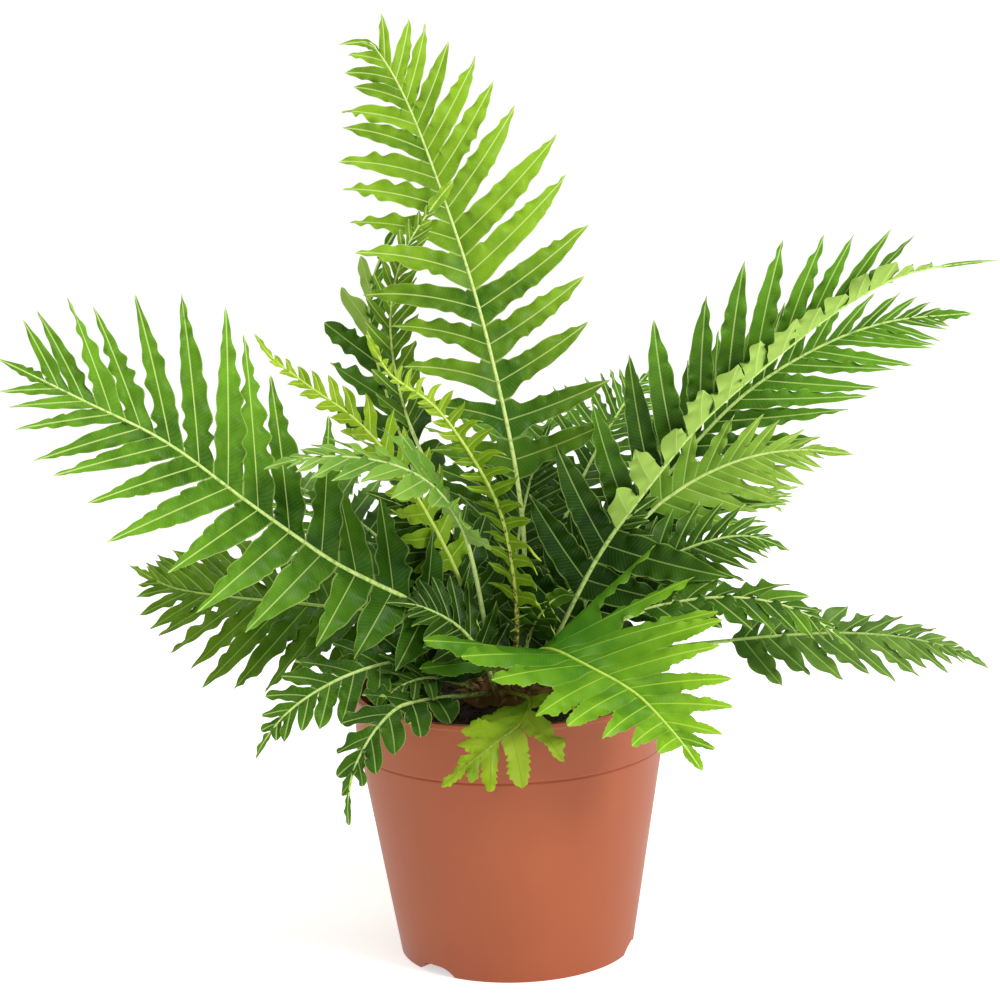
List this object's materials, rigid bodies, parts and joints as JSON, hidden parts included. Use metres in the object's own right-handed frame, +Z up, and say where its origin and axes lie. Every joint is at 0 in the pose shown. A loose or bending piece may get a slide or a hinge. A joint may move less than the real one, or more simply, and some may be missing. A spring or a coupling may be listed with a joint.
{
  "type": "potted silver lady fern",
  "caption": "Silver lady fern with arching fronds of narrow wavy leaflets, in a tapered terracotta-brown nursery pot with a plain rim band.",
  "frame": {"origin": "middle of the pot's foot, on the surface that it stands on", "axes": "+Z up along the pot's axis; the side seen in the picture faces -Y; +X to its right"},
  "size_m": [0.5, 0.4004, 0.5052],
  "materials": {
    "pot": "satin moulded polypropylene, terracotta brown",
    "soil": "moist peat potting soil, crumbly",
    "crown": "rootstock with dark brown scales",
    "leaf_young": "young frond, yellow-green",
    "leaf_bright": "bright green frond",
    "leaf_mature": "mature green frond",
    "leaf_dark": "dark green frond",
    "leaf_olive": "olive green frond",
    "leaf_grey": "greyish green frond",
    "leaf_pale": "frond seen from its pale underside"
  },
  "bodies": {
    "root": {"pot": "pot", "soil": "soil", "crown": "crown", "frond_back": "leaf_mature", "frond_back_left": "leaf_mature", "frond_back_left_high": "leaf_dark", "frond_back_right": "leaf_mature", "frond_back_right_high": "leaf_dark", "frond_centre_left": "leaf_grey", "frond_front_left": "leaf_dark", "frond_front_right": "leaf_bright", "frond_front_small": "leaf_young", "frond_inner_back": "leaf_dark", "frond_inner_front": "leaf_dark", "frond_inner_left": "leaf_dark", "frond_inner_right": "leaf_dark", "frond_left_long": "leaf_mature", "frond_left_low": "leaf_mature", "frond_left_under": "leaf_olive", "frond_new_leaf": "leaf_bright", "frond_right_front": "leaf_mature", "frond_right_long": "leaf_dark", "frond_right_low": "leaf_grey", "frond_right_middle": "leaf_dark", "frond_right_pale": "leaf_pale", "frond_right_upper": "leaf_dark", "frond_small_left": "leaf_mature", "frond_tall": "leaf_bright", "frond_upright_thin": "leaf_bright", "frond_young_front": "leaf_young", "frond_young_left": "leaf_young"}
  },
  "joints": []
}
